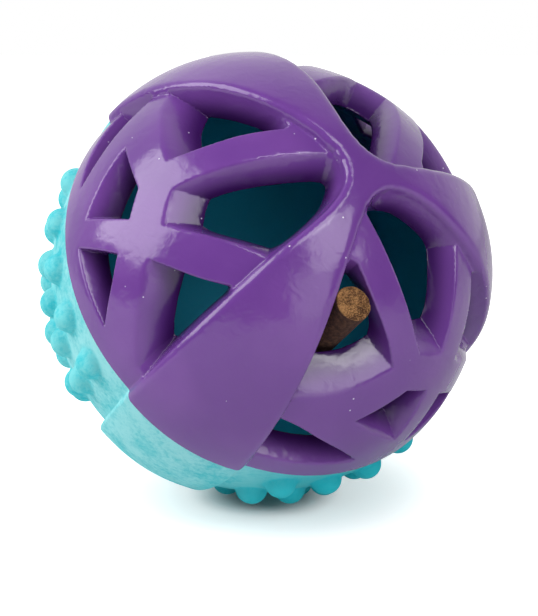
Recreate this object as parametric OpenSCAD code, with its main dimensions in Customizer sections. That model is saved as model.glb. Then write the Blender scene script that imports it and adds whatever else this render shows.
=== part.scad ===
// Treat dispensing ball: a stiff-rubber lattice half, a soft nubbed half that plugs into it,
// and a loose chew stick that shows in one of the lattice openings. Lengths in millimetres.
// The ball is worked out with its pole axis upright and its centre at the origin, and then
// laid in the pose in which it rests on the floor. +Z is up.

/* [Ball] */
// Diameter over the raised petals of the lattice half
ball_d = 100; // [80:1:120]
// Depth of the lattice surface below the crest of the petals
lattice_drop = 2.4; // [1.5:0.1:4]
// Wall thickness of the lattice between the petals
lattice_wall = 6.2; // [5:0.1:8]
// Height of the seam between the halves above the centre
seam_rise = 2; // [0:0.1:3]

/* [Petals] */
// Angle about the pole axis that one raised petal spans
petal_angle = 35; // [30:1:42]
// Radius of a petal's crown, measured across the petal
petal_crown_r = 38; // [32:0.5:46]

/* [Nub half] */
// Depth of the nub half's skin below the crest of the lattice half's petals
skin_drop = 3.6; // [3.2:0.1:5]
// Height of the nub half's own petals above its skin
soft_petal_h = 2.4; // [1:0.1:2.8]
// Radius of those petals' crown, measured across the petal
soft_crown_r = 38; // [32:0.5:45]
// Diameter of a nub
nub_d = 6.8; // [3:0.1:7.2]
// Height of a nub above the skin
nub_h = 3; // [2:0.1:3.2]
// Distance between neighbouring nubs of the first row and of every second row after it
nub_pitch = 11.6; // [10:0.1:16]
// Distance between neighbouring nubs of the rows between those
nub_close_pitch = 8.9; // [8.5:0.1:12]
// Distance between rows of nubs
nub_row_pitch = 8.9; // [8:0.1:14]
// Distance from the petal to the first nub of a wide row, at the nub's centre
nub_lead = 12.4; // [6:0.1:14]
// Distance from the last nub of a wide row to the next petal
nub_trail = 10.3; // [6:0.1:14]
// Distance from either petal to the end nub of a close row
nub_close_margin = 9.4; // [6:0.1:14]
// Distance of the first row, at its nubs' centres, below the ball's middle
nub_first_drop = 6.1; // [4:0.1:8]

/* [Plug between the halves] */
// Height of the nub half's plug above the seam
plug_h = 4; // [2:0.1:4.4]
// Thickness of the plug's wall
plug_wall = 2.5; // [2:0.1:3]
// Running clearance round the plug
plug_gap = 0.08; // [0.02:0.01:0.1]
// Clearance between the end faces of the two halves
seam_gap = 0.1; // [0.05:0.01:0.3]
// Width of the three keys that line the petals up
key_w = 8; // [5:0.5:10]
// How far a key stands out of the plug
key_rise = 1; // [0.6:0.1:1.5]
// Clearance round a key
key_gap = 0.3; // [0.1:0.05:0.4]

/* [Treat stick] */
// Length of the stick
stick_l = 22; // [12:0.5:30]
// Clearance between the stick and the walls of the opening that it stands in
stick_gap = 0.2; // [0.1:0.05:0.5]
// Height of the stick's outer end above the lattice surface
stick_proud = 0.4; // [-3:0.1:2]

/* [Resting pose] */
// Tilt of the pole axis from upright
pole_tilt = 51.2; // [0:0.1:90]
// Direction in which the pole axis leans
pole_heading = -56.6; // [-180:0.1:180]
// Turn of the ball about its own pole axis
pole_turn = -106.8; // [-180:0.1:180]

/* [Hidden] */
$fn = 96;
fields = 3;
field_step = 360 / fields;
ball_r = ball_d / 2;
lattice_r = ball_r - lattice_drop;
chamber_r = lattice_r - lattice_wall;
skin_r = ball_r - skin_drop;
soft_petal_r = skin_r + soft_petal_h;
field_half = (field_step - petal_angle) / 2;
// A quarter turn from the pole to the equator
quarter = 90;
// One overrun serves every cut
over = ball_r;

// The outline of a recessed field between two petals, clockwise seen from outside. Each point is
// a share of the field's half angle and a share of the quarter turn from the pole.
field_outline_shares = [
    [-1, 1.1], [-1, 0.25], [-0.95, 0.165], [-0.78, 0.102], [-0.47, 0.077], [-0.16, 0.069],
    [0.16, 0.068], [0.45, 0.072], [0.75, 0.086], [0.95, 0.115], [1.04, 0.165], [1.04, 0.235],
    [1.01, 0.31], [1, 0.4], [1, 1.1]
];

// Openings of one field. Each row is one corner, clockwise seen from outside: its two shares on
// the outer surface, and its two shares on the chamber's surface.
upper_near_shares = [
    [-0.992, 0.672, -0.992, 0.545], [-0.992, 0.45, -0.992, 0.42], [-0.992, 0.28, -0.985, 0.33],
    [-0.93, 0.248, -0.92, 0.3], [-0.825, 0.256, -0.785, 0.289], [-0.67, 0.3, -0.66, 0.311],
    [-0.53, 0.361, -0.553, 0.345], [-0.41, 0.422, -0.455, 0.385], [-0.32, 0.49, -0.4, 0.428],
    [-0.27, 0.556, -0.425, 0.467], [-0.425, 0.579, -0.505, 0.482], [-0.59, 0.608, -0.61, 0.501],
    [-0.8, 0.647, -0.765, 0.526]
];
polar_shares = [
    [0.01, 0.54, 0.08, 0.449], [-0.03, 0.494, 0.065, 0.416], [-0.075, 0.422, 0.05, 0.367],
    [-0.13, 0.356, 0.038, 0.311], [-0.21, 0.283, 0.025, 0.25], [-0.35, 0.2, -0.01, 0.183],
    [-0.53, 0.145, -0.05, 0.133], [-0.7, 0.115, -0.045, 0.102], [-0.66, 0.1, 0.08, 0.093],
    [-0.35, 0.08, 0.24, 0.094], [0, 0.074, 0.42, 0.1], [0.4, 0.077, 0.63, 0.117],
    [0.73, 0.094, 0.8, 0.139], [0.92, 0.122, 0.89, 0.167], [1, 0.168, 0.94, 0.222],
    [1, 0.235, 0.948, 0.289], [0.985, 0.31, 0.937, 0.322], [0.965, 0.372, 0.894, 0.342],
    [0.73, 0.414, 0.7, 0.381], [0.53, 0.471, 0.536, 0.427], [0.376, 0.533, 0.41, 0.47],
    [0.26, 0.585, 0.318, 0.489], [0.106, 0.561, 0.188, 0.47]
];
upper_far_shares = [
    [0.45, 0.658, 0.62, 0.602], [0.588, 0.607, 0.682, 0.582], [0.718, 0.57, 0.765, 0.559],
    [0.847, 0.533, 0.859, 0.536], [0.96, 0.504, 0.93, 0.52], [0.985, 0.522, 0.946, 0.539],
    [0.985, 0.7, 0.946, 0.66], [0.985, 0.882, 0.946, 0.752], [0.94, 0.887, 0.929, 0.754],
    [0.84, 0.846, 0.878, 0.733], [0.755, 0.801, 0.805, 0.696], [0.624, 0.738, 0.701, 0.644],
    [0.494, 0.692, 0.64, 0.613]
];
rim_far_shares = [
    [0.094, 0.898, 0.141, 0.864], [0.198, 0.809, 0.224, 0.809], [0.287, 0.751, 0.296, 0.77],
    [0.407, 0.793, 0.4, 0.8], [0.506, 0.84, 0.482, 0.839], [0.612, 0.9, 0.565, 0.873],
    [0.353, 0.903, 0.353, 0.878]
];
rim_middle_shares = [
    [-0.482, 0.722, -0.33, 0.718], [-0.29, 0.681, -0.235, 0.689], [-0.094, 0.648, -0.082, 0.661],
    [0.108, 0.686, 0.08, 0.692], [0.024, 0.767, 0.012, 0.739], [-0.056, 0.849, -0.07, 0.782],
    [-0.176, 0.811, -0.141, 0.764], [-0.329, 0.767, -0.235, 0.74]
];
rim_near_shares = [
    [-0.985, 0.747, -0.94, 0.758], [-0.847, 0.756, -0.835, 0.764], [-0.692, 0.788, -0.682, 0.791],
    [-0.534, 0.824, -0.553, 0.82], [-0.419, 0.859, -0.471, 0.84], [-0.329, 0.896, -0.412, 0.861],
    [-0.47, 0.901, -0.518, 0.867], [-0.73, 0.901, -0.73, 0.867], [-0.985, 0.901, -0.94, 0.867]
];
opening_shares = [
    upper_near_shares, polar_shares, upper_far_shares,
    rim_far_shares, rim_middle_shares, rim_near_shares
];

// Rings of an opening's cutter: how deep inside the chamber and how far outside it reaches
cutter_foot_share = 0.99;
cutter_lip_share = 1.006;
cutter_head_share = 1.3;
// A field's cutter is a pyramid between these two shares of the ball's radius
field_foot_share = 0.1;
field_reach_share = 2;
// A petal's band starts this share of the ball's radius away from its own axis
band_hub_share = 0.25;

// Angle round the foot of the nub half that no row of nubs enters
nub_free_angle = 25;
nub_r = nub_d / 2;
nub_centre_r = skin_r + nub_h - nub_r;
nub_row_angle = nub_row_pitch / skin_r * 180 / PI;
nub_first_angle = nub_first_drop / skin_r * 180 / PI;
nub_rows = 1 + floor((quarter - nub_free_angle - nub_first_angle) / nub_row_angle);
nub_fn = 32;

plug_r = chamber_r + plug_wall;
seam_face = seam_rise - seam_gap;

// The stick stands upright, parallel to the pole axis, in the first opening of the second field.
// Seen along that axis it fills a corner of the opening: its middle lies equally far from the
// web's side of the outer rim, from the lowest side of the chamber's rim, and from the petal.
outer_rim = ring(upper_near_shares, 0, lattice_r * cutter_lip_share);
chamber_rim = ring(upper_near_shares, 2, chamber_r * cutter_foot_share);
stick_room = equal_room([side(outer_rim, 5), side(chamber_rim, 11), side(outer_rim, 1)]);
stick_r = stick_room[2] - stick_gap;
stick_top = sqrt(pow(lattice_r + stick_proud, 2) - pow(norm([stick_room[0], stick_room[1]]), 2));

function on_ball(lon, colat, r) =
    [r * sin(colat) * cos(lon), r * sin(colat) * sin(lon), r * cos(colat)];

// One ring of an opening: outer corners when side is 0, chamber corners when side is 2
function ring(shares, side, r) =
    [for (row = shares) on_ball(row[side] * field_half, row[side + 1] * quarter, r)];

// One side of an outline, seen from above: its inward normal, and how far out it lies along that
function side(points, i) =
    let (a = points[i], way = points[i + 1] - a, n = [way[1], -way[0]] / norm([way[0], way[1]]))
    [n[0], n[1], n * [a[0], a[1]]];

// The point that lies equally far inside three sides, and that distance, found by determinants
function equal_room(sides) =
    let (nx = [for (s = sides) s[0]], ny = [for (s = sides) s[1]], out = [for (s = sides) s[2]],
        far = [-1, -1, -1])
    [out * cross(ny, far), nx * cross(out, far), nx * cross(ny, out)] / (nx * cross(ny, far));

// The mean of some points
function middle(points) = [for (p = points) 1 / len(points)] * points;

// Rings of points stacked outwards, closed by a fan at each end
module stacked_rings(rings) {
    n = len(rings[0]);
    last = len(rings) - 1;
    points = concat([for (r = rings) each r], [middle(rings[0]), middle(rings[last])]);
    walls = [for (k = [0:last - 1], i = [0:n - 1])
        let (j = (i + 1) % n, a = k * n, b = (k + 1) * n)
        each [[a + i, a + j, b + j], [a + i, b + j, b + i]]];
    foot = [for (i = [0:n - 1]) [n * len(rings), (i + 1) % n, i]];
    head = [for (i = [0:n - 1]) [n * len(rings) + 1, last * n + i, last * n + (i + 1) % n]];
    polyhedron(points = points, faces = concat(walls, foot, head));
}

module opening_cutter(shares) {
    stacked_rings([
        ring(shares, 2, chamber_r * cutter_foot_share),
        ring(shares, 0, lattice_r * cutter_lip_share),
        ring(shares, 0, lattice_r * cutter_head_share)
    ]);
}

module field_cutter() {
    stacked_rings([
        ring(field_outline_shares, 0, ball_r * field_foot_share),
        ring(field_outline_shares, 0, ball_r * field_reach_share)
    ]);
}

// Three crowned bands over the pole, each as wide as the ball: a full round of radius crown_r
// carried round the ball in a meridian plane
module crowns(r, crown_r) {
    for (k = [0:fields - 1]) rotate([0, 0, (k + 0.5) * field_step]) rotate([90, 0, 0])
        rotate_extrude() intersection() {
            translate([r - crown_r, 0]) circle(r = crown_r);
            translate([r * band_hub_share, -r]) square([r, 2 * r]);
        }
}

module petals(r, crown_r) {
    difference() {
        crowns(r, crown_r);
        for (k = [0:fields - 1]) rotate([0, 0, k * field_step]) field_cutter();
    }
}

module above(z) {
    translate([-over, -over, z]) cube([2 * over, 2 * over, 2 * over]);
}

module below(z) {
    translate([-over, -over, z - 2 * over]) cube([2 * over, 2 * over, 2 * over]);
}

// The round plug, wider by grow all round, with its keys at the petals' middles
module plug_form(grow, key_grow, height) {
    cylinder(r = plug_r + grow, h = height);
    for (k = [0:fields - 1]) rotate([0, 0, (k + 0.5) * field_step])
        translate([0, -key_w / 2 - key_grow, 0])
            cube([plug_r + key_rise + key_grow, key_w + 2 * key_grow, height]);
}

// Rows of nubs on each field, wide and close in turn. A row keeps its margins at both ends, and
// the room between is divided into the whole number of gaps that comes nearest to its pitch.
module nubs() {
    for (k = [0:fields - 1], row = [0:nub_rows - 1]) {
        wide = row % 2 == 0;
        colat = quarter + nub_first_angle + row * nub_row_angle;
        mm_per_degree = skin_r * sin(colat) * PI / 180;
        first = (wide ? nub_lead : nub_close_margin) / mm_per_degree - field_half;
        last = field_half - (wide ? nub_trail : nub_close_margin) / mm_per_degree;
        pitch = wide ? nub_pitch : nub_close_pitch;
        gaps = max(1, round((last - first) * mm_per_degree / pitch));
        for (i = [0:gaps]) {
            lon = k * field_step + first + (last - first) * i / gaps;
            translate(on_ball(lon, colat, nub_centre_r)) sphere(r = nub_r, $fn = nub_fn);
        }
    }
}

module resting() {
    rotate([0, 0, pole_heading]) rotate([0, pole_tilt, 0]) rotate([0, 0, pole_turn]) children();
}

module lattice_half() {
    color([0.44, 0.28, 0.62]) resting() difference() {
        union() {
            sphere(r = lattice_r);
            petals(ball_r, petal_crown_r);
        }
        sphere(r = chamber_r);
        below(seam_rise);
        translate([0, 0, seam_rise - over]) plug_form(plug_gap, key_gap, over + plug_h + plug_gap);
        for (k = [0:fields - 1], shares = opening_shares)
            rotate([0, 0, k * field_step]) opening_cutter(shares);
    }
}

module nub_half() {
    color([0.36, 0.80, 0.82]) resting() difference() {
        union() {
            difference() {
                union() {
                    sphere(r = skin_r);
                    mirror([0, 0, 1]) petals(soft_petal_r, soft_crown_r);
                    nubs();
                }
                above(seam_face);
            }
            plug_form(0, 0, seam_rise + plug_h);
        }
        sphere(r = chamber_r);
    }
}

module treat_stick() {
    color([0.33, 0.22, 0.16]) resting() rotate([0, 0, field_step])
        translate([stick_room[0], stick_room[1], stick_top - stick_l])
            cylinder(r = stick_r, h = stick_l);
}

lattice_half();
nub_half();
treat_stick();
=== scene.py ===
# %% [markdown]
# # A treat dispensing ball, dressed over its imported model
#
# The real object is a hollow rubber ball of about 10 cm in two mouldings. One half is a glossy
# purple lattice with three raised petals that meet at its pole, and the other is a soft teal shell
# with matching petals and rows of nubs. A baked chew stick sits inside and shows in one opening.
# Both mouldings are one smooth skin with rounded edges everywhere, which is hard to model face by
# face. So each is written as a distance formula, the way a moulder thinks of it: a wall, plus
# petals, minus openings, with a radius wherever two of them meet. Its zero surface is the skin.

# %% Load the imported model
import math

import bpy
import numpy as np
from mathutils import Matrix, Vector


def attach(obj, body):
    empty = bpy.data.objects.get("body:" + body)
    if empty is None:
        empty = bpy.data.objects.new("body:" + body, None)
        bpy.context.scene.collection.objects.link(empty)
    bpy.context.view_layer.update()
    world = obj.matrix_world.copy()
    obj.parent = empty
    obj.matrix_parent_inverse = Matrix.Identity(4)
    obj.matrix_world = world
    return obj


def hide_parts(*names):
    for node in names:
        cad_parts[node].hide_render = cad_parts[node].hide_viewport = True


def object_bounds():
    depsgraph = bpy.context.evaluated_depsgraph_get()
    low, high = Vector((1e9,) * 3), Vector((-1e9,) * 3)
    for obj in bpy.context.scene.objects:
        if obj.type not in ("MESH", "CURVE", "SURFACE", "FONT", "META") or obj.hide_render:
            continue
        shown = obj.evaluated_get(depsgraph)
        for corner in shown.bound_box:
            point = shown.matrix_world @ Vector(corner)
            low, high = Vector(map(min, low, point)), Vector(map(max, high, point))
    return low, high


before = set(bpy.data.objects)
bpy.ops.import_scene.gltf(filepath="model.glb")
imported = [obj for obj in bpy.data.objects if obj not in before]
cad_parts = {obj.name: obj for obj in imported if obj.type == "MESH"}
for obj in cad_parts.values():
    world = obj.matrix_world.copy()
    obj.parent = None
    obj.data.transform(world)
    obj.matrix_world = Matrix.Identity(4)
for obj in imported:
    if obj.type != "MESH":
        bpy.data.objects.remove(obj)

cad_box = [list(map(float, corner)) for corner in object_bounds()]
print("box of the packed model:", cad_box)

# %% [markdown]
# ## Sizes
#
# The formulas work in millimetres in the ball's own frame: its centre is the origin and the pole
# axis of the lattice half points up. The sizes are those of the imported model, so the skins lie
# where its solids are. Each size is named where it is first needed.

# %% Sizes of the ball
MM = 0.001
BALL_R = 50.0
LATTICE_R = 47.6
CHAMBER_R = 41.4
SEAM = 2.0
FIELDS = 3
FIELD_STEP = 2 * math.pi / FIELDS
FIELD_HALF = math.radians(42.5)
QUARTER = math.pi / 2
print("wall of the lattice:", round(LATTICE_R - CHAMBER_R, 2), "mm")

# %% [markdown]
# The ball lies on its nubs with its pole leaning towards the viewer and to the right. The
# finished points are turned into that pose, and an object itself is never turned.

# %% Resting pose
POLE_TILT, POLE_HEADING, POLE_TURN = map(math.radians, (51.2, -56.6, -106.8))


def turn_z(angle):
    """The matrix that turns by angle about Z."""
    c, s = math.cos(angle), math.sin(angle)
    return np.array([[c, -s, 0], [s, c, 0], [0, 0, 1]])


def turn_y(angle):
    """The matrix that turns by angle about Y."""
    c, s = math.cos(angle), math.sin(angle)
    return np.array([[c, 0, s], [0, 1, 0], [-s, 0, c]])


RESTING = turn_z(POLE_HEADING) @ turn_y(POLE_TILT) @ turn_z(POLE_TURN)
print("pole axis at rest:", (RESTING @ [0, 0, 1]).round(4))

# %% [markdown]
# ## Outlines on the ball
#
# Between two petals lies a recessed field, and each field has the same six openings. An outline is
# a ring of corners, each a share of the field's half angle about the pole and a share of the
# quarter turn from the pole to the equator. An opening has two rings, one on the outer surface and
# one on the chamber's, because its walls slope. The corners go clockwise, seen from outside.

# %% Outlines of a field and of its openings
FIELD_OUTLINE = [
    (-1, 1.1), (-1, 0.25), (-0.95, 0.165), (-0.78, 0.102), (-0.47, 0.077), (-0.16, 0.069),
    (0.16, 0.068), (0.45, 0.072), (0.75, 0.086), (0.95, 0.115), (1.04, 0.165), (1.04, 0.235),
    (1.01, 0.31), (1, 0.4), (1, 1.1),
]
OPENINGS = {
    "upper_near": [
        (-1.004, 0.672, -0.992, 0.545), (-1.004, 0.45, -0.992, 0.42),
        (-1.004, 0.28, -0.985, 0.33), (-0.93, 0.248, -0.92, 0.3), (-0.825, 0.256, -0.785, 0.289),
        (-0.67, 0.3, -0.66, 0.311), (-0.53, 0.361, -0.553, 0.345), (-0.41, 0.422, -0.455, 0.385),
        (-0.32, 0.49, -0.4, 0.428), (-0.27, 0.556, -0.425, 0.467), (-0.425, 0.579, -0.505, 0.482),
        (-0.59, 0.608, -0.61, 0.501), (-0.8, 0.647, -0.765, 0.526),
    ],
    "polar": [
        (0.01, 0.54, 0.08, 0.449), (-0.03, 0.494, 0.065, 0.416), (-0.075, 0.422, 0.05, 0.367),
        (-0.13, 0.356, 0.038, 0.311), (-0.21, 0.283, 0.025, 0.25), (-0.35, 0.2, -0.01, 0.183),
        (-0.53, 0.145, -0.05, 0.133), (-0.7, 0.115, -0.045, 0.102), (-0.66, 0.095, 0.08, 0.093),
        (-0.35, 0.073, 0.24, 0.094), (0, 0.067, 0.42, 0.1), (0.4, 0.07, 0.63, 0.117),
        (0.74, 0.084, 0.8, 0.139), (0.95, 0.113, 0.89, 0.167), (1.043, 0.165, 0.94, 0.222),
        (1.043, 0.235, 0.948, 0.289), (1.012, 0.31, 0.937, 0.322), (0.985, 0.375, 0.894, 0.342),
        (0.73, 0.414, 0.7, 0.381), (0.53, 0.471, 0.536, 0.427), (0.376, 0.533, 0.41, 0.47),
        (0.26, 0.585, 0.318, 0.489), (0.106, 0.561, 0.188, 0.47),
    ],
    "upper_far": [
        (0.45, 0.658, 0.62, 0.602), (0.588, 0.607, 0.682, 0.582), (0.718, 0.57, 0.765, 0.559),
        (0.847, 0.533, 0.859, 0.536), (0.965, 0.502, 0.93, 0.52), (1.004, 0.516, 0.946, 0.539),
        (1.004, 0.7, 0.946, 0.66), (1.004, 0.884, 0.946, 0.752), (0.94, 0.887, 0.929, 0.754),
        (0.84, 0.846, 0.878, 0.733), (0.755, 0.801, 0.805, 0.696), (0.624, 0.738, 0.701, 0.644),
        (0.494, 0.692, 0.64, 0.613),
    ],
    "rim_far": [
        (0.094, 0.898, 0.141, 0.864), (0.198, 0.809, 0.224, 0.809), (0.287, 0.751, 0.296, 0.77),
        (0.407, 0.793, 0.4, 0.8), (0.506, 0.84, 0.482, 0.839), (0.612, 0.9, 0.565, 0.873),
        (0.353, 0.903, 0.353, 0.878),
    ],
    "rim_middle": [
        (-0.482, 0.722, -0.33, 0.718), (-0.29, 0.681, -0.235, 0.689),
        (-0.094, 0.648, -0.082, 0.661), (0.108, 0.686, 0.08, 0.692), (0.024, 0.767, 0.012, 0.739),
        (-0.056, 0.849, -0.07, 0.782), (-0.176, 0.811, -0.141, 0.764),
        (-0.329, 0.767, -0.235, 0.74),
    ],
    "rim_near": [
        (-1.004, 0.745, -0.94, 0.758), (-0.847, 0.756, -0.835, 0.764),
        (-0.692, 0.788, -0.682, 0.791), (-0.534, 0.824, -0.553, 0.82),
        (-0.419, 0.859, -0.471, 0.84), (-0.329, 0.896, -0.412, 0.861),
        (-0.47, 0.901, -0.518, 0.867), (-0.73, 0.901, -0.73, 0.867), (-1.004, 0.901, -0.94, 0.867),
    ],
}


def on_ball(lon, colat):
    """Unit directions at angle lon about the pole and angle colat away from it."""
    lon, colat = np.asarray(lon, float), np.asarray(colat, float)
    return np.stack([np.sin(colat) * np.cos(lon), np.sin(colat) * np.sin(lon), np.cos(colat)], -1)


def ring(shares):
    """Directions of an outline's corners, from their shares."""
    shares = np.asarray(shares, float)
    return on_ball(shares[:, 0] * FIELD_HALF, shares[:, 1] * QUARTER)


print("openings in a field:", list(OPENINGS))

# %% [markdown]
# ## Distances
#
# To round an outline's edge, its distance is needed in millimetres. Each outline is unrolled
# around its own middle: a direction's place on the flat map is its angle from the middle, drawn
# along its bearing, so straight walls stay straight and lengths stay true near the middle.


# %% Unrolling
class Map:
    """A flat map of the ball's surface round one direction, in radians."""

    def __init__(self, middle):
        self.up = middle / np.linalg.norm(middle)
        side = np.cross([0.0, 0.0, 1.0], self.up)
        self.east = side / np.linalg.norm(side)
        self.north = np.cross(self.up, self.east)

    def place(self, u):
        """Place of unit directions on the map.

        It is the angle from the middle, times the bearing's cosine and sine."""
        across, along, towards = u @ self.east, u @ self.north, u @ self.up
        reach = np.hypot(across, along)
        stretch = np.arctan2(reach, towards) / np.maximum(reach, 1e-9)
        return np.stack([across * stretch, along * stretch], -1)


FIELD_MIDDLE = math.radians(52)
FIELD_MAP = Map(on_ball(0.0, FIELD_MIDDLE))
south = on_ball(0.0, FIELD_MIDDLE + math.radians(10))
print("10 degrees south on the map:", FIELD_MAP.place(south).round(4))


# %% Distance to an outline
def outline_distance(x, y, corners):
    """Signed distance from points to a closed outline, negative inside.

    For each side, the nearest point on it is found by clamping the projection, and the least
    distance wins. A point is inside if a ray from it crosses the sides an odd number of times.
    corners holds one (x, y) pair a corner, each a number or an array with a value a point."""
    nearest = np.full(x.shape, np.inf)
    sign = np.ones(x.shape)
    for i in range(len(corners)):
        (ax, ay), (bx, by) = corners[i], corners[i - 1]
        ex, ey, wx, wy = bx - ax, by - ay, x - ax, y - ay
        share = np.clip((wx * ex + wy * ey) / (ex * ex + ey * ey), 0, 1)
        nearest = np.minimum(nearest, (wx - ex * share) ** 2 + (wy - ey * share) ** 2)
        above, under, left = y >= ay, y < by, ex * wy > ey * wx
        sign = np.where((above & under & left) | ~(above | under | left), -sign, sign)
    return sign * np.sqrt(nearest)


SQUARE = [(1, 1), (1, -1), (-1, -1), (-1, 1)]
print("middle of a square of side 2:", outline_distance(np.zeros(1), np.zeros(1), SQUARE))


# %% Rounded meetings
def round_and(a, b, radius):
    """Where both solids are: the larger distance, with the outer corner rounded to radius."""
    corner = np.hypot(np.maximum(a + radius, 0), np.maximum(b + radius, 0))
    return np.minimum(-radius, np.maximum(a, b)) + corner


def round_or(a, b, radius):
    """Where either solid is: the smaller distance, with the inner corner filled to radius."""
    corner = np.hypot(np.maximum(radius - a, 0), np.maximum(radius - b, 0))
    return np.maximum(radius, np.minimum(a, b)) - corner


print("two faces that meet at a radius of 1:", round_and(0.0, 0.0, 1.0).round(3))

# %% [markdown]
# ## Three equal fields
#
# The mould has the same pattern three times round the pole. So a point is first turned by whole
# thirds into one field, and every outline is written only once. Three turned copies of a mesh
# would do too, but they would have to be joined without a visible seam.


# %% Folding and the field's outline
def fold(p):
    """Turns each point by whole thirds about the pole, into the field whose middle is on +X."""
    turns = np.round(np.arctan2(p[:, 1], p[:, 0]) / FIELD_STEP) * FIELD_STEP
    c, s = np.cos(turns), np.sin(turns)
    return np.stack([p[:, 0] * c + p[:, 1] * s, p[:, 1] * c - p[:, 0] * s, p[:, 2]], -1)


def filled_outline(shares, step=math.radians(6)):
    """The outline's corners, with more points on its long sides.

    They let a long side bend with the ball on the flat map."""
    dense = []
    for here, there in zip(shares, shares[1:] + shares[:1]):
        a, b = np.array(here, float), np.array(there, float)
        span = np.abs(b - a) * (FIELD_HALF, QUARTER)
        n = max(1, int(np.ceil(span.max() / step)))
        dense += [tuple(a + (b - a) * k / n) for k in range(n)]
    return dense


FIELD_PLACES = FIELD_MAP.place(ring(filled_outline(FIELD_OUTLINE)))
print("corners of a field's outline:", len(FIELD_PLACES))


def field_distance(p, r):
    """Distance to the cone over a field's outline, at each folded point's own radius."""
    place = FIELD_MAP.place(p / r[:, None]) * r[:, None]
    corners = [(x * r, y * r) for x, y in FIELD_PLACES]
    return outline_distance(place[:, 0], place[:, 1], corners)


# %% [markdown]
# ## Petals
#
# A petal is a smooth crowned band that swells out of the ball and runs over the pole, where the
# three melt into one neck. A round carried along a ring gives that swell from two radii, and it
# fades into the ball by itself. A field then cuts it back, with a rounded edge.

# %% Crowned petals
PETAL_BLEND = 3.0


def crown_distance(p, r, ball_r, crown_r, blend):
    """Distance to three crowned bands that run over the pole.

    A band is a round of radius crown_r carried round a ring in a meridian plane. With y the
    distance from that plane and q the distance from the pole axis's foot inside it, a point lies
    hypot(q - ring radius, y) - crown_r outside. The bands are blended where they meet, and the
    blend is kept within the ball."""
    bands = None
    for k in range(FIELDS):
        lon = (k + 0.5) * FIELD_STEP
        y = p[:, 1] * math.cos(lon) - p[:, 0] * math.sin(lon)
        q = np.sqrt(np.maximum(r * r - y * y, 0))
        band = np.hypot(q - (ball_r - crown_r), y) - crown_r
        bands = band if bands is None else round_or(bands, band, blend)
    return np.maximum(bands, r - ball_r)


# %% [markdown]
# ## Openings
#
# The openings of the real moulding have slanted walls, and each wall has its own slant. An
# outline on each side of the wall gives that. On the real part some corners are crisp and others
# are bends, so a corner that turns only a little is drawn as a curve.

# %% Curved outlines of the openings
SHARP_TURN = math.radians(40)
MAP_MARGIN = math.radians(4)


def curved(outer, inner, parts=3):
    """Both rings of an opening, with every gentle corner drawn as a curve.

    The curve runs between the middles m and n of the corner v's two sides. At share t along it,
    the point is (1 - t) squared times m, plus 2 t (1 - t) times v, plus t squared times n. A
    corner that turns by more than SHARP_TURN on either ring stays."""
    v = np.stack([outer, inner], 1)
    back, on = v - np.roll(v, 1, 0), np.roll(v, -1, 0) - v
    turn = np.abs(np.angle((on[..., 0] + 1j * on[..., 1]) * (back[..., 0] - 1j * back[..., 1])))
    m, n = v - back / 2, v + on / 2
    t = np.arange(parts)[:, None, None] / parts
    points = []
    for k in range(len(v)):
        if turn[k].max() > SHARP_TURN:
            points.append(np.stack([m[k], v[k]]))
        else:
            points.append((1 - t) ** 2 * m[k] + 2 * t * (1 - t) * v[k] + t * t * n[k])
    points = np.concatenate(points)
    return points[:, 0], points[:, 1]


OPENING_MAPS = {}
for name, shares in OPENINGS.items():
    outer, inner = ring([s[:2] for s in shares]), ring([s[2:] for s in shares])
    level = Map((outer + inner).mean(0))
    reach = np.arccos((outer @ level.up).min()) + MAP_MARGIN
    outer, inner = curved(level.place(outer), level.place(inner))
    OPENING_MAPS[name] = (level, outer, inner, math.cos(reach))
    print(f"{name}: {len(outer)} corners")


# %% Distance to the openings
FAR = 20.0


def openings_distance(p, r):
    """Least distance to any opening of the folded point's field, negative in the opening.

    Each wall runs straight from the outline on the chamber to the outline outside, so at a depth
    share between them every corner stands at that share of its way."""
    least = np.full(len(p), FAR)
    depth = np.clip((r - CHAMBER_R) / (LATTICE_R - CHAMBER_R), -0.3, 1.0)
    u = p / r[:, None]
    for level, outer, inner, near in OPENING_MAPS.values():
        at = np.nonzero(u @ level.up > near)[0]
        place, t, size = level.place(u[at]), depth[at], r[at]
        corners = [
            (ix + (ox - ix) * t, iy + (oy - iy) * t) for (ox, oy), (ix, iy) in zip(outer, inner)
        ]
        found = outline_distance(place[:, 0], place[:, 1], corners) * size
        least[at] = np.minimum(least[at], found)
    return least


# %% [markdown]
# ## Plug
#
# The teal half reaches up inside the purple rim with a thin ring. Three keys on it bring the
# petals of both halves in line. One formula makes the plug and, grown by the clearance, its
# socket, so the two always fit.

# %% Plug with keys
PLUG_H = 4.0
PLUG_R = 43.9
PLUG_ROOT = 1.5
PLUG_GAP = 0.08
KEY_W = 8.0
KEY_RISE = 1.0
KEY_GAP = 0.3


def plug_distance(p, grow, key_grow, top):
    """Distance to the plug's solid form: a cylinder with a key at the middle of each petal.

    It reaches from PLUG_ROOT below the seam up to top."""
    across = np.hypot(p[:, 0], p[:, 1])
    lon = np.arctan2(p[:, 1], p[:, 0])
    from_key = np.mod(lon, FIELD_STEP) - FIELD_STEP / 2
    side = np.abs(across * np.sin(from_key)) - KEY_W / 2 - key_grow
    key = np.maximum(side, across - PLUG_R - KEY_RISE - key_grow)
    ends = np.maximum(p[:, 2] - top, SEAM - PLUG_ROOT - p[:, 2])
    return np.maximum(np.minimum(across - PLUG_R - grow, key), ends)


print("wall of the plug:", round(PLUG_R - CHAMBER_R, 2), "mm")

# %% [markdown]
# ## The lattice half
#
# The purple moulding is a sum and a difference of these forms: the wall and the petals together,
# less what lies below the seam, the openings, the chamber and the socket. Every edge of the real
# part is soft, because rubber tears at a sharp one, so each step has its radius.

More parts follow.
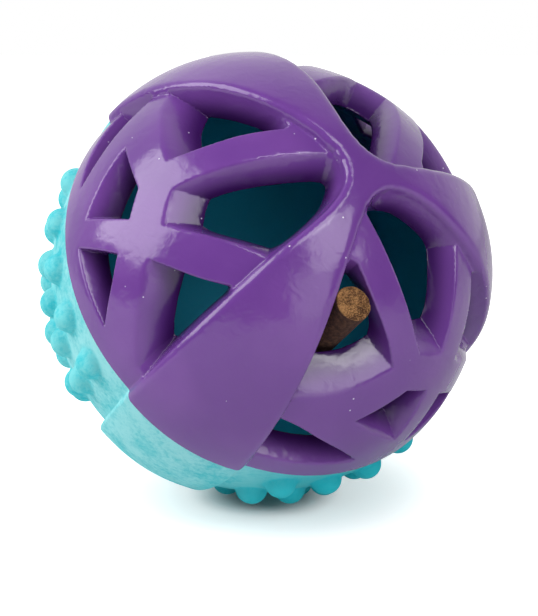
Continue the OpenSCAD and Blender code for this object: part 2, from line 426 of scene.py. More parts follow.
# %% Distance to the lattice half
PETAL_CROWN_R = 38.0
PETAL_EDGE = 2.0
PETAL_FOOT = 0.5
RIM_EDGE = 0.5
OPENING_EDGE = 0.5
CHAMBER_EDGE = 0.8


def lattice_half_distance(p):
    """Signed distance to the purple half: wall and petals, less openings, chamber and socket."""
    r = np.maximum(np.linalg.norm(p, axis=1), 1e-6)
    f = fold(p)
    crown = crown_distance(p, r, BALL_R, PETAL_CROWN_R, PETAL_BLEND)
    petals = round_and(crown, -field_distance(f, r), PETAL_EDGE)
    solid = round_or(r - LATTICE_R, petals, PETAL_FOOT)
    solid = round_and(solid, SEAM - p[:, 2], RIM_EDGE)
    solid = round_and(solid, -openings_distance(f, r), OPENING_EDGE)
    solid = round_and(solid, CHAMBER_R - r, CHAMBER_EDGE)
    return np.maximum(solid, -plug_distance(p, PLUG_GAP, KEY_GAP, SEAM + PLUG_H + PLUG_GAP))


print("distance at the pole:", lattice_half_distance(np.array([[0.0, 0.0, BALL_R]])).round(3))

# %% [markdown]
# ## The nub half
#
# The teal moulding carries the petals on below the seam, so its points are flipped on to the same
# outline. Its nubs are balls sunk into the skin, and they stand in rows that follow the seam. A
# formula places them, so that every field gets the same rows and none lands on a petal.

# %% Nubs
SKIN_R = 46.4
NUB_R = 3.4
NUB_H = 3.0
NUB_PITCHES = (11.6, 8.9)
NUB_ROW_PITCH = 8.9
NUB_FIRST_DROP = 6.1
NUB_LEAD, NUB_TRAIL, NUB_CLOSE_MARGIN = 12.4, 10.3, 9.4
NUB_ROW_ANGLE = NUB_ROW_PITCH / SKIN_R
NUB_FIRST_ANGLE = NUB_FIRST_DROP / SKIN_R
NUB_LAST_ANGLE = math.radians(65)
NUB_ROWS = 1 + math.floor((NUB_LAST_ANGLE - NUB_FIRST_ANGLE) / NUB_ROW_ANGLE)


def nub_centres():
    """Centres of one field's nubs, in rows down from the seam.

    Wide and close rows take turns. A row keeps its margins at both ends, and the room between is
    divided into the whole number of gaps that comes nearest to the row's pitch."""
    centres = []
    for row in range(NUB_ROWS):
        lead, trail = (NUB_LEAD, NUB_TRAIL) if row % 2 == 0 else (NUB_CLOSE_MARGIN,) * 2
        colat = QUARTER + NUB_FIRST_ANGLE + row * NUB_ROW_ANGLE
        reach = SKIN_R * math.sin(colat)
        first, last = lead / reach - FIELD_HALF, FIELD_HALF - trail / reach
        gaps = max(1, math.floor((last - first) * reach / NUB_PITCHES[row % 2] + 0.5))
        lon = np.linspace(first, last, gaps + 1)
        centres.append(on_ball(lon, np.full_like(lon, colat)) * (SKIN_R + NUB_H - NUB_R))
    return np.concatenate(centres)


NUBS = nub_centres()
print("nubs in a field:", len(NUBS))

# %% Distance to the nub half
SOFT_PETAL_R = 48.8
SOFT_CROWN_R = 38.0
SOFT_PETAL_EDGE = 0.9
SOFT_PETAL_FOOT = 0.5
NUB_FOOT = 0.7
SEAM_GAP = 0.1
SEAM_EDGE = 0.4


def nub_half_distance(p):
    """Signed distance to the teal half: skin, petals and nubs, less the chamber, plus the plug."""
    r = np.maximum(np.linalg.norm(p, axis=1), 1e-6)
    f = fold(p)
    over = f * (1, 1, -1)
    crown = crown_distance(p, r, SOFT_PETAL_R, SOFT_CROWN_R, PETAL_BLEND)
    petals = round_and(crown, -field_distance(over, r), SOFT_PETAL_EDGE)
    solid = round_or(r - SKIN_R, petals, SOFT_PETAL_FOOT)
    nubs = np.full(len(p), FAR)
    at = np.nonzero((r > SKIN_R - 2) & (p[:, 2] < SEAM + 3))[0]
    for centre in NUBS:
        nubs[at] = np.minimum(nubs[at], np.linalg.norm(f[at] - centre, axis=1) - NUB_R)
    solid = round_or(solid, nubs, NUB_FOOT)
    solid = round_and(solid, p[:, 2] - SEAM + SEAM_GAP, SEAM_EDGE)
    solid = np.minimum(solid, plug_distance(p, 0, 0, SEAM + PLUG_H))
    return np.maximum(solid, CHAMBER_R - r)


print("distance at the foot:", nub_half_distance(np.array([[0.0, 0.0, -BALL_R]])).round(3))

# %% [markdown]
# ## From a distance to a skin
#
# The distance is sampled on a grid of cubes. Each cube that the skin passes through gets one
# vertex, at the mean of the points where the skin cuts its edges, and each grid edge that crosses
# the skin gets one four-sided face between the four cubes around it. Then every vertex slides
# along the distance's slope until it lies on the skin itself, so the faces follow the formula and
# not the grid, and the slope there is its normal.

# %% Sampling near the skin
GRAIN = 0.42
BLOCK = 3
BLOCK_REACH = 1.1 * BLOCK * GRAIN
OUTSIDE = 5.0


def in_parts(distance, p, most=200000):
    """The distance at many points, a part at a time to spare memory."""
    return np.concatenate([distance(q) for q in np.array_split(p, max(1, len(p) // most))])


def sample(distance, low, high, keep):
    """The distance at the points of a grid of pitch GRAIN, worked out only near the skin.

    The grid is cut into blocks of BLOCK points a side. Where the distance at a block's middle is
    more than the block's own reach, the whole block takes that value, because only its sign
    counts there. keep says which blocks can hold skin at all."""
    count = np.ceil((np.array(high) - low) / GRAIN / BLOCK).astype(int)
    axes = [low[i] + GRAIN * (BLOCK * np.arange(count[i]) + (BLOCK - 1) / 2) for i in range(3)]
    middles = np.stack(np.meshgrid(*axes, indexing="ij"), -1).reshape(-1, 3)
    found = np.full(len(middles), OUTSIDE)
    at = np.nonzero(keep(middles))[0]
    found[at] = in_parts(distance, middles[at])
    values = found.reshape(count)
    for axis in range(3):
        values = values.repeat(BLOCK, axis)
    near = np.argwhere((np.abs(found) < BLOCK_REACH).reshape(count))
    steps = np.stack(np.meshgrid(*[np.arange(BLOCK)] * 3, indexing="ij"), -1).reshape(-1, 3)
    fine = (near[:, None] * BLOCK + steps).reshape(-1, 3)
    values[tuple(fine.T)] = in_parts(distance, low + GRAIN * fine)
    return values


print("grain of the grid:", GRAIN, "mm")

# %% Surface nets
CORNERS = [(i, j, k) for i in (0, 1) for j in (0, 1) for k in (0, 1)]
EDGES = [(a, b) for a in range(8) for b in range(a + 1, 8)
         if sum(abs(s - t) for s, t in zip(CORNERS[a], CORNERS[b])) == 1]


def surface_net(values, low):
    """Vertices and quads of the zero surface.

    There is one vertex for each crossed cube and one quad for each crossed edge."""
    inside = values < 0
    shape = np.array(values.shape) - 1

    def corner(array, c):
        return array[c[0]:c[0] + shape[0], c[1]:c[1] + shape[1], c[2]:c[2] + shape[2]]

    count = sum(corner(inside, c).astype(np.int8) for c in CORNERS)
    cubes = np.argwhere((count > 0) & (count < 8))
    total, hits = np.zeros((len(cubes), 3)), np.zeros(len(cubes))
    for a, b in EDGES:
        ca, cb = np.array(CORNERS[a]), np.array(CORNERS[b])
        va, vb = values[tuple((cubes + ca).T)], values[tuple((cubes + cb).T)]
        crossed = (va < 0) != (vb < 0)
        share = np.where(crossed, va / np.where(crossed, va - vb, 1), 0)
        total += np.where(crossed[:, None], ca + share[:, None] * (cb - ca), 0)
        hits += crossed
    vertices = np.asarray(low) + GRAIN * (cubes + total / hits[:, None])
    index = np.full(shape, -1)
    index[tuple(cubes.T)] = np.arange(len(cubes))
    quads = []
    step = np.eye(3, dtype=int)
    for axis, (u, v) in enumerate([(1, 2), (2, 0), (0, 1)]):
        crossing = np.argwhere(inside != np.roll(inside, -1, axis))
        crossing = crossing[(crossing[:, axis] < shape[axis])
                            & (crossing[:, u] > 0) & (crossing[:, u] < shape[u])
                            & (crossing[:, v] > 0) & (crossing[:, v] < shape[v])]
        around = [crossing - step[u] - step[v], crossing - step[v], crossing, crossing - step[u]]
        quad = np.stack([index[tuple(c.T)] for c in around], -1)
        outward = inside[tuple(crossing.T)]
        quads.append(np.where(outward[:, None], quad, quad[:, ::-1]))
    return vertices, np.concatenate(quads)


print("edges of a cube:", len(EDGES))

# %% Sliding on to the skin
TETRAHEDRON = np.array([(1, -1, -1), (-1, -1, 1), (-1, 1, -1), (1, 1, 1)])
LEAST_STEEP = 0.2
MOST_SLIDE = 0.4


def slope(distance, p, reach=0.03):
    """The distance and its rate of change along each axis.

    The distance is taken at the four corners of a small tetrahedron round each point. Their mean
    is the value, and their sum, each times its corner's direction, points up the slope."""
    found = [in_parts(distance, p + corner * reach) for corner in TETRAHEDRON]
    rate = sum(f[:, None] * corner for f, corner in zip(found, TETRAHEDRON)) / (4 * reach)
    return sum(found) / 4, rate


def unit(v):
    """Vectors of length one."""
    return v / np.maximum(np.linalg.norm(v, axis=-1, keepdims=True), 1e-9)


def drop(distance, vertices):
    """Moves vertices down the slope by their distance, on to the zero surface."""
    value, rate = slope(distance, vertices)
    steep = np.maximum((rate * rate).sum(1), LEAST_STEEP)
    slide = np.clip(value / steep, -MOST_SLIDE, MOST_SLIDE)
    return vertices - slide[:, None] * rate, unit(rate)


def even_out(vertices, normals, quads):
    """Moves each vertex half way to the mean of its neighbours, but only along the surface."""
    pairs = np.concatenate([quads[:, [i, i - 1]] for i in range(4)])
    links = np.bincount(pairs.ravel(), minlength=len(vertices))
    total = np.stack([
        np.bincount(pairs[:, 0], vertices[pairs[:, 1], i], len(vertices))
        + np.bincount(pairs[:, 1], vertices[pairs[:, 0], i], len(vertices)) for i in range(3)
    ], -1)
    move = total / links[:, None] - vertices
    return vertices + 0.5 * (move - (move * normals).sum(1)[:, None] * normals)


slid, up = drop(lattice_half_distance, np.array([[0.0, 0.3, BALL_R - 0.2]]))
print("a point near the pole slides to:", slid.round(3), "normal:", up.round(3))


# %% From arrays to an object
def mesh_piece(name, vertices, faces, normals=None):
    """A new object at the origin, from points in millimetres in the ball's own frame."""
    mesh = bpy.data.meshes.new(name)
    placed = (vertices @ RESTING.T) * MM
    sides = faces.shape[1]
    mesh.vertices.add(len(placed))
    mesh.vertices.foreach_set("co", placed.astype(np.float32).ravel())
    mesh.loops.add(faces.size)
    mesh.loops.foreach_set("vertex_index", faces.astype(np.int32).ravel())
    mesh.polygons.add(len(faces))
    mesh.polygons.foreach_set("loop_start", np.arange(len(faces), dtype=np.int32) * sides)
    mesh.update(calc_edges=True)
    mesh.validate()
    mesh.shade_smooth()
    if normals is not None:
        mesh.normals_split_custom_set_from_vertices((normals @ RESTING.T).astype(np.float32))
    piece = bpy.data.objects.new(name, mesh)
    bpy.context.collection.objects.link(piece)
    return piece


# %% [markdown]
# A net that is fine enough for the small radii has far more faces than the smooth petals need. So
# it is made fine, and then a Decimate modifier merges faces where the skin is nearly flat and
# leaves them small round the edges. The merged corners are dropped on to the skin once more.


# %% Thinning out
def thin_out(vertices, quads, most):
    """Merges faces until at most that many triangles are left, the flattest places first."""
    rough = mesh_piece("rough", vertices, quads)
    fewer = rough.modifiers.new("fewer", "DECIMATE")
    fewer.ratio, fewer.use_collapse_triangulate = min(1.0, most / (2 * len(quads))), True
    made = rough.evaluated_get(bpy.context.evaluated_depsgraph_get()).to_mesh()
    corners = np.empty(3 * len(made.vertices))
    made.vertices.foreach_get("co", corners)
    made.calc_loop_triangles()
    faces = np.empty(3 * len(made.loop_triangles), np.int32)
    made.loop_triangles.foreach_get("vertices", faces)
    rough.to_mesh_clear()
    bpy.data.meshes.remove(rough.data)
    return corners.reshape(-1, 3) / MM @ RESTING, faces.reshape(-1, 3)


SAME_BEND = math.cos(math.radians(16))


def soften(normals, triangles, rounds=3):
    """Averages each normal with those neighbours' that belong to the same gentle bend.

    It takes the faint facets out of the openings' curved walls and leaves the edges crisp."""
    pairs = np.concatenate([triangles[:, [i, i - 1]] for i in range(3)])
    a, b = np.concatenate([pairs, pairs[:, ::-1]]).T
    for _ in range(rounds):
        alike = (normals[a] * normals[b]).sum(1) > SAME_BEND
        total = [np.bincount(a[alike], normals[b[alike], i], len(normals)) for i in range(3)]
        normals = unit(2 * normals + np.stack(total, -1))
    return normals


# %% Skin of a half
SKIN_TRIANGLES = 190000
SPAN = BALL_R + 1
OFF_GRID = 0.013


def skin(name, distance, low_z, high_z, marks=None):
    """The skin of a half, sampled between two heights. marks adds a value at each vertex.

    The grid is shifted by OFF_GRID, so that no flat face of the half lies exactly in it."""
    low = np.array([-SPAN, -SPAN, low_z]) + OFF_GRID

    def keep(p):
        r = np.linalg.norm(p, axis=1)
        return (r > CHAMBER_R - BLOCK * GRAIN) & (r < BALL_R + BLOCK * GRAIN)

    values = sample(distance, low, (SPAN, SPAN, high_z), keep)
    vertices, quads = surface_net(values, low)
    vertices, normals = drop(distance, vertices)
    for _ in range(2):
        vertices = even_out(vertices, normals, quads)
    vertices, normals = drop(distance, vertices)
    vertices, triangles = thin_out(vertices, quads, SKIN_TRIANGLES)
    vertices, normals = drop(distance, vertices)
    normals = soften(unit(slope(distance, vertices)[1]), triangles)
    print(f"{name}: {2 * len(quads)} triangles sampled, {len(triangles)} kept")
    piece = mesh_piece(name, vertices, triangles, normals)
    if marks:
        layer = piece.data.attributes.new("nub", "FLOAT", "POINT")
        layer.data.foreach_set("value", marks(vertices).astype(np.float32))
    return piece


# %% Make the lattice half
HEADROOM = 1.5
lattice_skin = skin("lattice_skin", lattice_half_distance, SEAM - HEADROOM, SPAN)
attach(lattice_skin, "hard_half")
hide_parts("lattice_half")

# %% [markdown]
# The nubs of the real ball are a stronger teal than the skin between them. The mesh carries that
# as a value at each vertex, which the finish reads later, because only the formula knows where
# a nub ends.

# %% Make the nub half
NUB_FADE = 0.8


def on_nub(p):
    """1 on a nub and 0 on the skin between nubs.

    It falls over a width of NUB_FADE, which begins half that width outside the nub's ball."""
    f = fold(p)
    nearest = np.min([np.linalg.norm(f - centre, axis=1) for centre in NUBS], axis=0)
    return np.clip(1.5 - (nearest - NUB_R) / NUB_FADE, 0, 1)


nub_skin = skin("nub_skin", nub_half_distance, -SPAN, SEAM + PLUG_H + HEADROOM, on_nub)
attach(nub_skin, "soft_half")
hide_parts("nub_half")

# %% [markdown]
# ## The treat stick
#
# The stick is pressed from crumb and snapped to length, so its sides are dull and finely pitted
# and its ends are torn. A cylinder would do for the form, but torn ends need points to move. So
# it is a surface of two parameters: the angle round the stick, and the way along a profile from
# the middle of one end, over its edge and down the side, to the middle of the other end. Smooth
# random waves of falling size push it in and out.


# %% Smooth random waves
TABLE_SIDE = 32
WELL_INSIDE = 100.5


def waves(p, scale, seed, octaves):
    """Smooth noise at points.

    It is a lattice of random values, blended between eight neighbours with an s-curve, and
    summed over octaves that halve in size and in height. WELL_INSIDE only keeps places above 0."""
    rng = np.random.default_rng(seed)
    table = rng.random((TABLE_SIDE,) * 3) * 2 - 1
    total, height = np.zeros(len(p)), 1.0
    for _ in range(octaves):
        q = p / scale + WELL_INSIDE
        base = np.floor(q).astype(int)
        f = q - base
        f = f * f * (3 - 2 * f)
        for c in CORNERS:
            cell = (base + c) % TABLE_SIDE
            weight = np.prod(np.where(np.array(c) == 1, f, 1 - f), axis=1)
            total += height * weight * table[cell[:, 0], cell[:, 1], cell[:, 2]]
        scale, height = scale / 2, height / 2
    return total


print("waves at two places:", waves(np.array([[0.0, 0, 0], [1, 2, 3]]), 1.2, 3, 4).round(3))

# %% Profile of the stick
STICK_R = 3.85
STICK_L = 22.0
STICK_EDGE = 0.35
END_STEPS, BEND_STEPS, SIDE_STEPS, ROUND_STEPS = 26, 7, 90, 144


def stick_surface():
    """Points of the stick: the profile gives radius and height, and the angle turns them.

    The profile runs over the top end, its edge, the side, the lower edge and the lower end. The
    two middles are left out, because a single point closes each end."""
    flat, straight = STICK_R - STICK_EDGE, STICK_L - STICK_EDGE
    end = np.linspace(0, flat, END_STEPS)
    bend = np.linspace(0, QUARTER, BEND_STEPS)[1:]
    side = np.linspace(STICK_EDGE, straight, SIDE_STEPS)[1:]
    radius = np.concatenate([end, flat + STICK_EDGE * np.sin(bend), np.full(len(side), STICK_R),
                             flat + STICK_EDGE * np.cos(bend), end[::-1][1:]])
    height = np.concatenate([np.zeros(len(end)), -STICK_EDGE * (1 - np.cos(bend)), -side,
                             -straight - STICK_EDGE * np.sin(bend),
                             np.full(len(end) - 1, -STICK_L)])
    angle = np.linspace(0, 2 * math.pi, ROUND_STEPS, endpoint=False)
    grid_r, grid_a = np.meshgrid(radius, angle, indexing="ij")
    p = np.stack([grid_r * np.cos(grid_a), grid_r * np.sin(grid_a),
                  np.broadcast_to(height[:, None], grid_r.shape)], -1)
    return p[1:-1]


grid = stick_surface()
rows, columns = grid.shape[:2]
points = np.concatenate([grid.reshape(-1, 3), [[0, 0, 0]], [[0, 0, -STICK_L]]])
print("stick:", rows, "rings of", columns, "points")

# %% Torn ends and a pitted side
PIT_SIZE = 1.2
TORN_DEPTH = 0.8

height, across = points[:, 2], np.linalg.norm(points[:, :2], axis=1)
radial = points * (1, 1, 0) / np.maximum(across, 1e-6)[:, None]
near_top = np.clip((height + TORN_DEPTH) / TORN_DEPTH, 0, 1)
near_foot = np.clip((-STICK_L + TORN_DEPTH - height) / TORN_DEPTH, 0, 1)
side_push = -0.02 - 0.06 * np.abs(waves(points, PIT_SIZE, 3, 4))
end_push = -0.1 - 0.3 * np.abs(waves(points, PIT_SIZE, 5, 3))
outward = np.where(height > -STICK_L / 2, 1.0, -1.0)
rise = outward * end_push * (near_top + near_foot)
points = points + radial * (side_push * np.clip(across / STICK_R, 0, 1))[:, None]
points[:, 2] += rise
print("deepest pit in an end:", round(float(-(end_push * near_top).min()), 2), "mm")

# %% Make the stick
STICK_TOP = (21.68, -14.16, 40.41)
i, j = np.meshgrid(np.arange(rows - 1), np.arange(columns), indexing="ij")
here, there = i * columns, (j + 1) % columns
quads = np.stack([here + j, here + columns + j, here + columns + there, here + there],
                 -1).reshape(-1, 4)
k = np.arange(columns)
k_next, last_row = (k + 1) % columns, (rows - 1) * columns
top = np.stack([np.full(columns, rows * columns), k, k_next], -1)
foot = np.stack([np.full(columns, rows * columns + 1), last_row + k_next, last_row + k], -1)
triangles = np.concatenate([quads[:, [0, 1, 2]], quads[:, [0, 2, 3]], top, foot])
stick = mesh_piece("stick_crumb", points + turn_z(FIELD_STEP) @ STICK_TOP, triangles)
print("stick:", len(triangles), "triangles")
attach(stick, "treat")
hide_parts("treat_stick")

# %% [markdown]
# ## Writing shaders as arithmetic
#
# A material's pattern is a formula of the place on the object. A small class wraps a node's output
# so that Python's own operators add the Math nodes.


# %% Shader arithmetic
class Wire:
    """One socket of a node tree, with arithmetic."""

    def __init__(self, tree, socket):
        self.tree, self.socket = tree, socket

    def math(self, operation, other):
        return self.tree.add("ShaderNodeMath", {"operation": operation}, {0: self, 1: other})

    def __add__(self, other): return self.math("ADD", other)
    def __radd__(self, other): return self.math("ADD", other)
    def __sub__(self, other): return self.math("SUBTRACT", other)
    def __mul__(self, other): return self.math("MULTIPLY", other)
    def __rmul__(self, other): return self.math("MULTIPLY", other)

    def __rsub__(self, other):
        return self.tree.add("ShaderNodeMath", {"operation": "SUBTRACT"}, {0: other, 1: self})

    def step(self, low, high):
        """0 below low, 1 above high, and an s-curve between."""
        return self.tree.add("ShaderNodeMapRange", {"interpolation_type": "SMOOTHSTEP"},
                             {"Value": self, "From Min": low, "From Max": high})


class Finish:
    """A material with its Principled shader, and helpers that add nodes to it."""

    def __init__(self, name, **constants):
        self.material = bpy.data.materials.new(name)
        self.material.use_nodes = True
        self.nodes = self.material.node_tree.nodes
        self.links = self.material.node_tree.links
        self.shader = self.nodes["Principled BSDF"]
        for socket, value in constants.items():
            self.shader.inputs[socket.replace("_", " ")].default_value = value

    def add(self, kind, settings=None, inputs=None, output=0):
        """A node of that kind: its settings first, then its sockets' values or links."""
        node = self.nodes.new(kind)
        for key, value in (settings or {}).items():
            setattr(node, key, value)
        for key, value in (inputs or {}).items():
            if isinstance(value, Wire):
                self.links.new(value.socket, node.inputs[key])
            else:
                node.inputs[key].default_value = value
        return Wire(self, node.outputs[output])

    def place(self, scale=1.0):
        """The place on the object, in metres times scale."""
        here = self.add("ShaderNodeTexCoord", output="Object")
        return self.add("ShaderNodeVectorMath", {"operation": "SCALE"}, {0: here, "Scale": scale})

    def reach(self):
        """The distance from the ball's centre, in millimetres."""
        return self.add("ShaderNodeVectorMath", {"operation": "LENGTH"},
                        {0: self.place(1 / MM)}, output="Value")

    def along(self, way):
        """How far a place lies along a direction from the ball's centre, in millimetres."""
        return self.add("ShaderNodeVectorMath", {"operation": "DOT_PRODUCT"},
                        {0: self.place(1 / MM), 1: [float(w) for w in way]}, output="Value")

    def noise(self, size_mm, detail=3.0, roughness=0.5, distortion=0.0):
        """Smooth noise whose blotches are about size_mm across."""
        return self.add("ShaderNodeTexNoise", {}, {
            "Vector": self.place(1 / (size_mm * MM)), "Scale": 1.0, "Detail": detail,
            "Roughness": roughness, "Distortion": distortion}, output="Fac")

    def specks(self, pitch_mm, size):
        """Small round dots scattered about pitch_mm apart: near a random point in a cell."""
        far = self.add("ShaderNodeTexVoronoi", {"feature": "F1"}, {
            "Vector": self.place(1 / (pitch_mm * MM)), "Scale": 1.0}, output="Distance")
        return 1 - far.step(size * 0.5, size)

    def mix(self, share, first, second):
        """A colour between two, by share."""
        return self.add("ShaderNodeMix", {"data_type": "RGBA"},
                        {"Factor": share, 6: first, 7: second}, output=2)

    def feed(self, socket, wire):
        """Joins a wire to a socket of the Principled shader."""
        self.links.new(wire.socket, self.shader.inputs[socket])

    def bump(self, height, depth_mm, strength=1.0):
        """Tilts the light's reflection as if the surface rose by height times depth_mm."""
        out = self.add("ShaderNodeBump", {}, {
            "Height": height, "Distance": depth_mm * MM, "Strength": strength}, output="Normal")
        self.feed("Normal", out)


def colour(r, g, b):
    """A colour written as the screen shows it, 0 to 255, turned into light."""
    def light(v):
        v = v / 255
        return v / 12.92 if v <= 0.04045 else ((v + 0.055) / 1.055) ** 2.4
    return (light(r), light(g), light(b), 1.0)


print("middle grey as light:", round(colour(128, 128, 128)[0], 3))

# %% [markdown]
# ## Purple rubber
#
# The lattice is a hard, glossy rubber. Its skin is slightly wavy, which makes the edges of the
# highlights ragged, and its colour drifts a little from place to place. The walls of the openings
# are painted a deeper purple towards the chamber, which is painted shade deep in the recesses, and
# specks of dust stick to it. A painted texture would need the ball unwrapped. Noise on Object
# coordinates needs no map and shows no seam.

# %% Purple rubber
purple = Finish("purple_rubber", Roughness=0.2, IOR=1.5, Subsurface_Weight=0.05,
                Subsurface_Scale=0.004, Coat_Weight=0.2, Coat_Roughness=0.1)
purple.shader.inputs["Subsurface Radius"].default_value = (1.0, 0.4, 1.0)
VIOLET, PALE_VIOLET = colour(106, 61, 143), colour(116, 69, 152)
PAINTED_SHADE_VIOLET, PALE_DUST = colour(56, 20, 86), colour(225, 215, 235)

drift = purple.noise(size_mm=22, detail=2.0).step(0.35, 0.7)
dust = purple.specks(pitch_mm=5.0, size=0.045)
# Painted shade: the purple darkens towards the chamber, deep in the openings' walls.
clear_of_painted_shade = purple.reach().step(42.0, 47.0)
rubber = purple.mix(clear_of_painted_shade, PAINTED_SHADE_VIOLET, purple.mix(drift, VIOLET, PALE_VIOLET))
purple.feed("Base Color", purple.mix(dust, rubber, PALE_DUST))
purple.feed("Roughness", 0.15 + 0.06 * purple.noise(size_mm=6) + 0.3 * dust)
swells = purple.noise(size_mm=7, detail=2.0)
ripples = purple.noise(size_mm=2.6, detail=2.0, distortion=0.6)
purple.bump(swells + 0.6 * ripples, depth_mm=0.2, strength=0.8)
print("nodes of the purple rubber:", len(purple.nodes))

# %% [markdown]
# ## Teal rubber
#
# The nub half is a soft, matt rubber under a pale powdery bloom. Its pale tone is also painted
# light, strongest towards the upper left where the main light falls, and faint underneath and at
# the lower right. Two sizes of noise make the bloom patchy and fine at once. The nubs are
# a stronger teal than the skin, by the value that the mesh carries, and the chamber has no bloom.

# %% Teal rubber
teal = Finish("teal_rubber", Roughness=0.7, IOR=1.45, Subsurface_Weight=0.1,
              Subsurface_Scale=0.004)
teal.shader.inputs["Subsurface Radius"].default_value = (0.5, 1.0, 1.0)
SKIN_TEAL, SKIN_BLOOM_AND_LIGHT = colour(56, 194, 203), colour(150, 223, 227)
NUB_TEAL, NUB_BLOOM_AND_LIGHT = colour(0, 192, 205), colour(118, 214, 219)
CHAMBER_TEAL = colour(0, 150, 180)
UPPER_LEFT, PAINTED_LIGHT_FULL, PAINTED_LIGHT_GONE = (-0.6, 0, 0.8), -16.0, -36.0

# Painted light: the bloom's pale tone is strongest towards the upper left, where the main light
# falls.
painted_light_share = teal.along(UPPER_LEFT).step(PAINTED_LIGHT_GONE, PAINTED_LIGHT_FULL)
patches = (0.55 * teal.noise(size_mm=8, detail=4.0)
           + 0.45 * teal.noise(size_mm=1.1, detail=4.0, roughness=0.7))
bloom_and_light = (0.1 + 0.9 * painted_light_share) * patches.step(0.33, 0.6)
nub = teal.add("ShaderNodeAttribute", {"attribute_name": "nub"}, output="Fac")
outside = teal.mix(nub, teal.mix(bloom_and_light, SKIN_TEAL, SKIN_BLOOM_AND_LIGHT),
                   teal.mix(bloom_and_light, NUB_TEAL, NUB_BLOOM_AND_LIGHT))
in_chamber = 1 - teal.reach().step(42.2, 43.2)
powder = teal.noise(size_mm=0.7)
teal.feed("Base Color", teal.mix(in_chamber, outside, CHAMBER_TEAL))
teal.feed("Roughness", 0.62 + 0.2 * powder)
teal.bump(powder + 0.5 * teal.noise(size_mm=2.5, detail=2.0), depth_mm=0.05, strength=0.7)
print("nodes of the teal rubber:", len(teal.nodes))

# %% [markdown]
# ## Baked treat
#
# The stick is pressed and baked crumb: dark and dull on its side, rough and golden where it is
# broken across. Only the formula of the stick says where its ends are, so the finish asks how
# far up the pole a place lies.

# %% Baked treat
treat = Finish("baked_treat", Roughness=0.85, IOR=1.4)
CRUST, PALE_CRUST = colour(52, 32, 26), colour(92, 62, 46)
CRUMB, PALE_CRUMB = colour(78, 48, 28), colour(188, 138, 86)
BREAK_FROM, BREAK_TO = 0.9, 0.5

crumbs = treat.noise(size_mm=0.9, detail=5.0, roughness=0.7)
torn = treat.noise(size_mm=0.3, roughness=0.8)
clumps = treat.noise(size_mm=2.4, roughness=0.6)
side = treat.mix(crumbs.step(0.35, 0.7), CRUST, PALE_CRUST)
broken = treat.mix((0.6 * torn + 0.4 * clumps).step(0.42, 0.6), CRUMB, PALE_CRUMB)
up_the_pole = treat.along(RESTING @ [0, 0, 1])
top_end, foot_end = STICK_TOP[2], STICK_TOP[2] - STICK_L
at_top = up_the_pole.step(top_end - BREAK_FROM, top_end - BREAK_TO)
at_foot = up_the_pole.step(foot_end + BREAK_FROM, foot_end + BREAK_TO)
treat.feed("Base Color", treat.mix(at_top + at_foot, side, broken))
treat.bump(torn, depth_mm=0.3)

for piece, finish in ((lattice_skin, purple), (nub_skin, teal), (stick, treat)):
    piece.data.materials.append(finish.material)
print("finishes:", [m.name for m in bpy.data.materials])

# %% [markdown]
# ## Floor
#
# The ball lies on white paper. To the camera the paper glows, so that it is as white as the
# background, but the glow fades out round the ball in two steps, and that fade is a painted
# shadow: dark where the two touch, and faint further out. There only the lamps and the room light
# the paper, so the ball's own shadow shows as well.

# %% Floor
FLOOR_Z = min(corner[2] for corner in cad_box)
HALF_SIDE = 0.6
DARK_FROM, DARK_TO, DARK_SHARE = 0.0498, 0.0525, 0.45
FAINT_FROM, FAINT_TO, FAINT_SHARE = 0.054, 0.075, 0.55

floor_mesh = bpy.data.meshes.new("floor")
floor_mesh.from_pydata([(x * HALF_SIDE, y * HALF_SIDE, FLOOR_Z)
                        for x, y in ((-1, -1), (1, -1), (1, 1), (-1, 1))], [], [(0, 1, 2, 3)])
ground = bpy.data.objects.new("floor", floor_mesh)
bpy.context.collection.objects.link(ground)

paper = Finish("paper", Roughness=0.9)
paper.shader.inputs["Base Color"].default_value = (0.8, 0.8, 0.8, 1)
paper.shader.inputs["Emission Strength"].default_value = 1.0
from_ball = paper.add("ShaderNodeVectorMath", {"operation": "LENGTH"}, {0: paper.place()},
                      output="Value")
# Painted shadow: the camera's glow fades to nothing close round the ball.
glow_past_painted_shadow = (DARK_SHARE * from_ball.step(DARK_FROM, DARK_TO)
        + FAINT_SHARE * from_ball.step(FAINT_FROM, FAINT_TO))
paper.feed("Emission Color", paper.add("ShaderNodeLightPath", output="Is Camera Ray") * glow_past_painted_shadow)
ground.data.materials.append(paper.material)
print("floor at", FLOOR_Z)

# %% [markdown]
# ## World
#
# A glossy ball mirrors the room it stands in. A dim room in front keeps the purple deep, and a
# white sweep behind gives the outline its pale edge. The level rises smoothly from front to
# back, so no edge of it shows in the gloss. The camera itself sees plain white.

# %% World
FRONT_LEVEL, BACK_LEVEL = 0.04, 0.85
SWEEP_FROM, SWEEP_TO = 0.0, 0.8


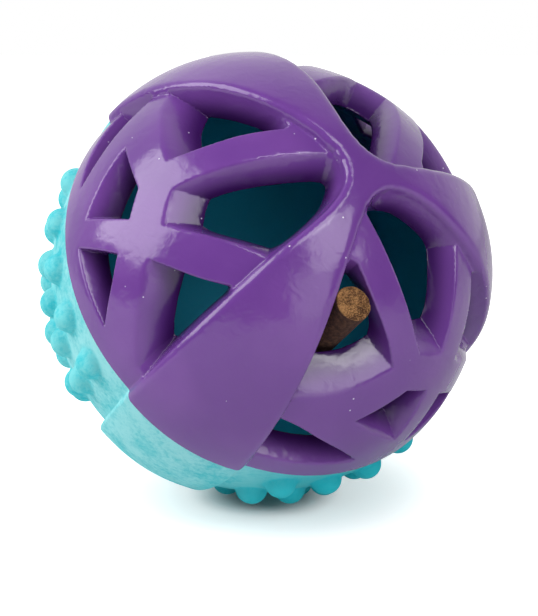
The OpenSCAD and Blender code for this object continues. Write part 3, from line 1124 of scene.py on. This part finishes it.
def studio():
    """A dim room in front of the ball and a white sweep behind it, both seen as white."""
    world = bpy.data.worlds.new("studio")
    bpy.context.scene.world = world
    world.use_nodes = True
    nodes, links = world.node_tree.nodes, world.node_tree.links
    way, axes = nodes.new("ShaderNodeTexCoord"), nodes.new("ShaderNodeSeparateXYZ")
    sweep, seen = nodes.new("ShaderNodeMapRange"), nodes.new("ShaderNodeMix")
    path = nodes.new("ShaderNodeLightPath")
    sweep.interpolation_type = "SMOOTHSTEP"
    for socket, value in (("From Min", SWEEP_FROM), ("From Max", SWEEP_TO),
                          ("To Min", FRONT_LEVEL), ("To Max", BACK_LEVEL)):
        sweep.inputs[socket].default_value = value
    seen.inputs[3].default_value = 1.0
    links.new(way.outputs["Generated"], axes.inputs[0])
    links.new(axes.outputs["Y"], sweep.inputs["Value"])
    links.new(path.outputs["Is Camera Ray"], seen.inputs["Factor"])
    links.new(sweep.outputs["Result"], seen.inputs[2])
    links.new(seen.outputs[0], nodes["Background"].inputs["Strength"])
    nodes["Background"].inputs["Color"].default_value = (1, 1, 1, 1)


studio()
print("world from", FRONT_LEVEL, "in front to", BACK_LEVEL, "behind")

# %% [markdown]
# ## Soft boxes
#
# Each large square lamp shows in the gloss as one broad pale patch, as a studio's cloth boxes
# do. The one at the left is the main light. The ones in front and above light the right side and
# the top, and a weak low one reaches into the openings.

# %% Soft boxes
LAMP_DISTANCE = 0.9


def soft_box(name, way, size, card):
    """A square lamp that faces the ball, out along a direction.

    A white card that faces the lamp at the ball renders at the level card. A lamp of power P at
    distance d gives P / (pi d) squared there, so the power is card times (pi d) squared."""
    lamp = bpy.data.lights.new(name, "AREA")
    lamp.shape, lamp.size, lamp.energy = "SQUARE", size, card * (math.pi * LAMP_DISTANCE) ** 2
    holder = bpy.data.objects.new(name, lamp)
    bpy.context.collection.objects.link(holder)
    back = np.array(way, float) / np.linalg.norm(way)
    right = np.cross([0, 1.0, 0] if abs(back[2]) > 0.9 else [0, 0, 1.0], back)
    right /= np.linalg.norm(right)
    matrix = np.eye(4)
    matrix[:3] = np.stack([right, np.cross(back, right), back, back * LAMP_DISTANCE], 1)
    holder.matrix_world = [list(row) for row in matrix.T]
    print(f"{name}: {lamp.energy:.2f} W")


soft_box("left box", (-0.81, -0.12, 0.57), size=0.75, card=0.95)
soft_box("front box", (0.54, -0.67, 0.51), size=0.45, card=0.28)
soft_box("high box", (0.22, -0.56, 0.8), size=0.45, card=0.36)
soft_box("low box", (0.42, -0.9, 0.1), size=0.35, card=0.08)

# %% [markdown]
# ## Camera
#
# The camera stands 55 cm away and looks 15 degrees down through a long lens, so the ball shows as
# it does in the photograph. CENTRE_IN_VIEW is the place of the ball's centre as the camera sees
# it, in millimetres: a little left of the middle and above it.

# %% Camera
CAMERA_RISE = math.radians(15)
CENTRE_IN_VIEW = np.array([-1.1, 6.35, -555.2])
LENS = 148.2

camera = bpy.data.cameras.new("camera")
camera.lens, camera.sensor_width, camera.sensor_fit = LENS, 36.0, "AUTO"
camera.clip_start, camera.clip_end = 0.01, 10.0
holder = bpy.data.objects.new("camera", camera)
bpy.context.collection.objects.link(holder)
right = np.array([1.0, 0, 0])
back = np.array([0, -math.cos(CAMERA_RISE), math.sin(CAMERA_RISE)])
up = np.cross(back, right)
turn = np.stack([right, up, back], 1)
at = -(turn @ CENTRE_IN_VIEW) * MM
matrix = np.eye(4)
matrix[:3, :3], matrix[:3, 3] = turn, at
holder.matrix_world = [list(row) for row in matrix.T]
bpy.context.scene.camera = holder
bpy.context.scene.view_settings.view_transform = "Standard"
print("camera at", at.round(4))
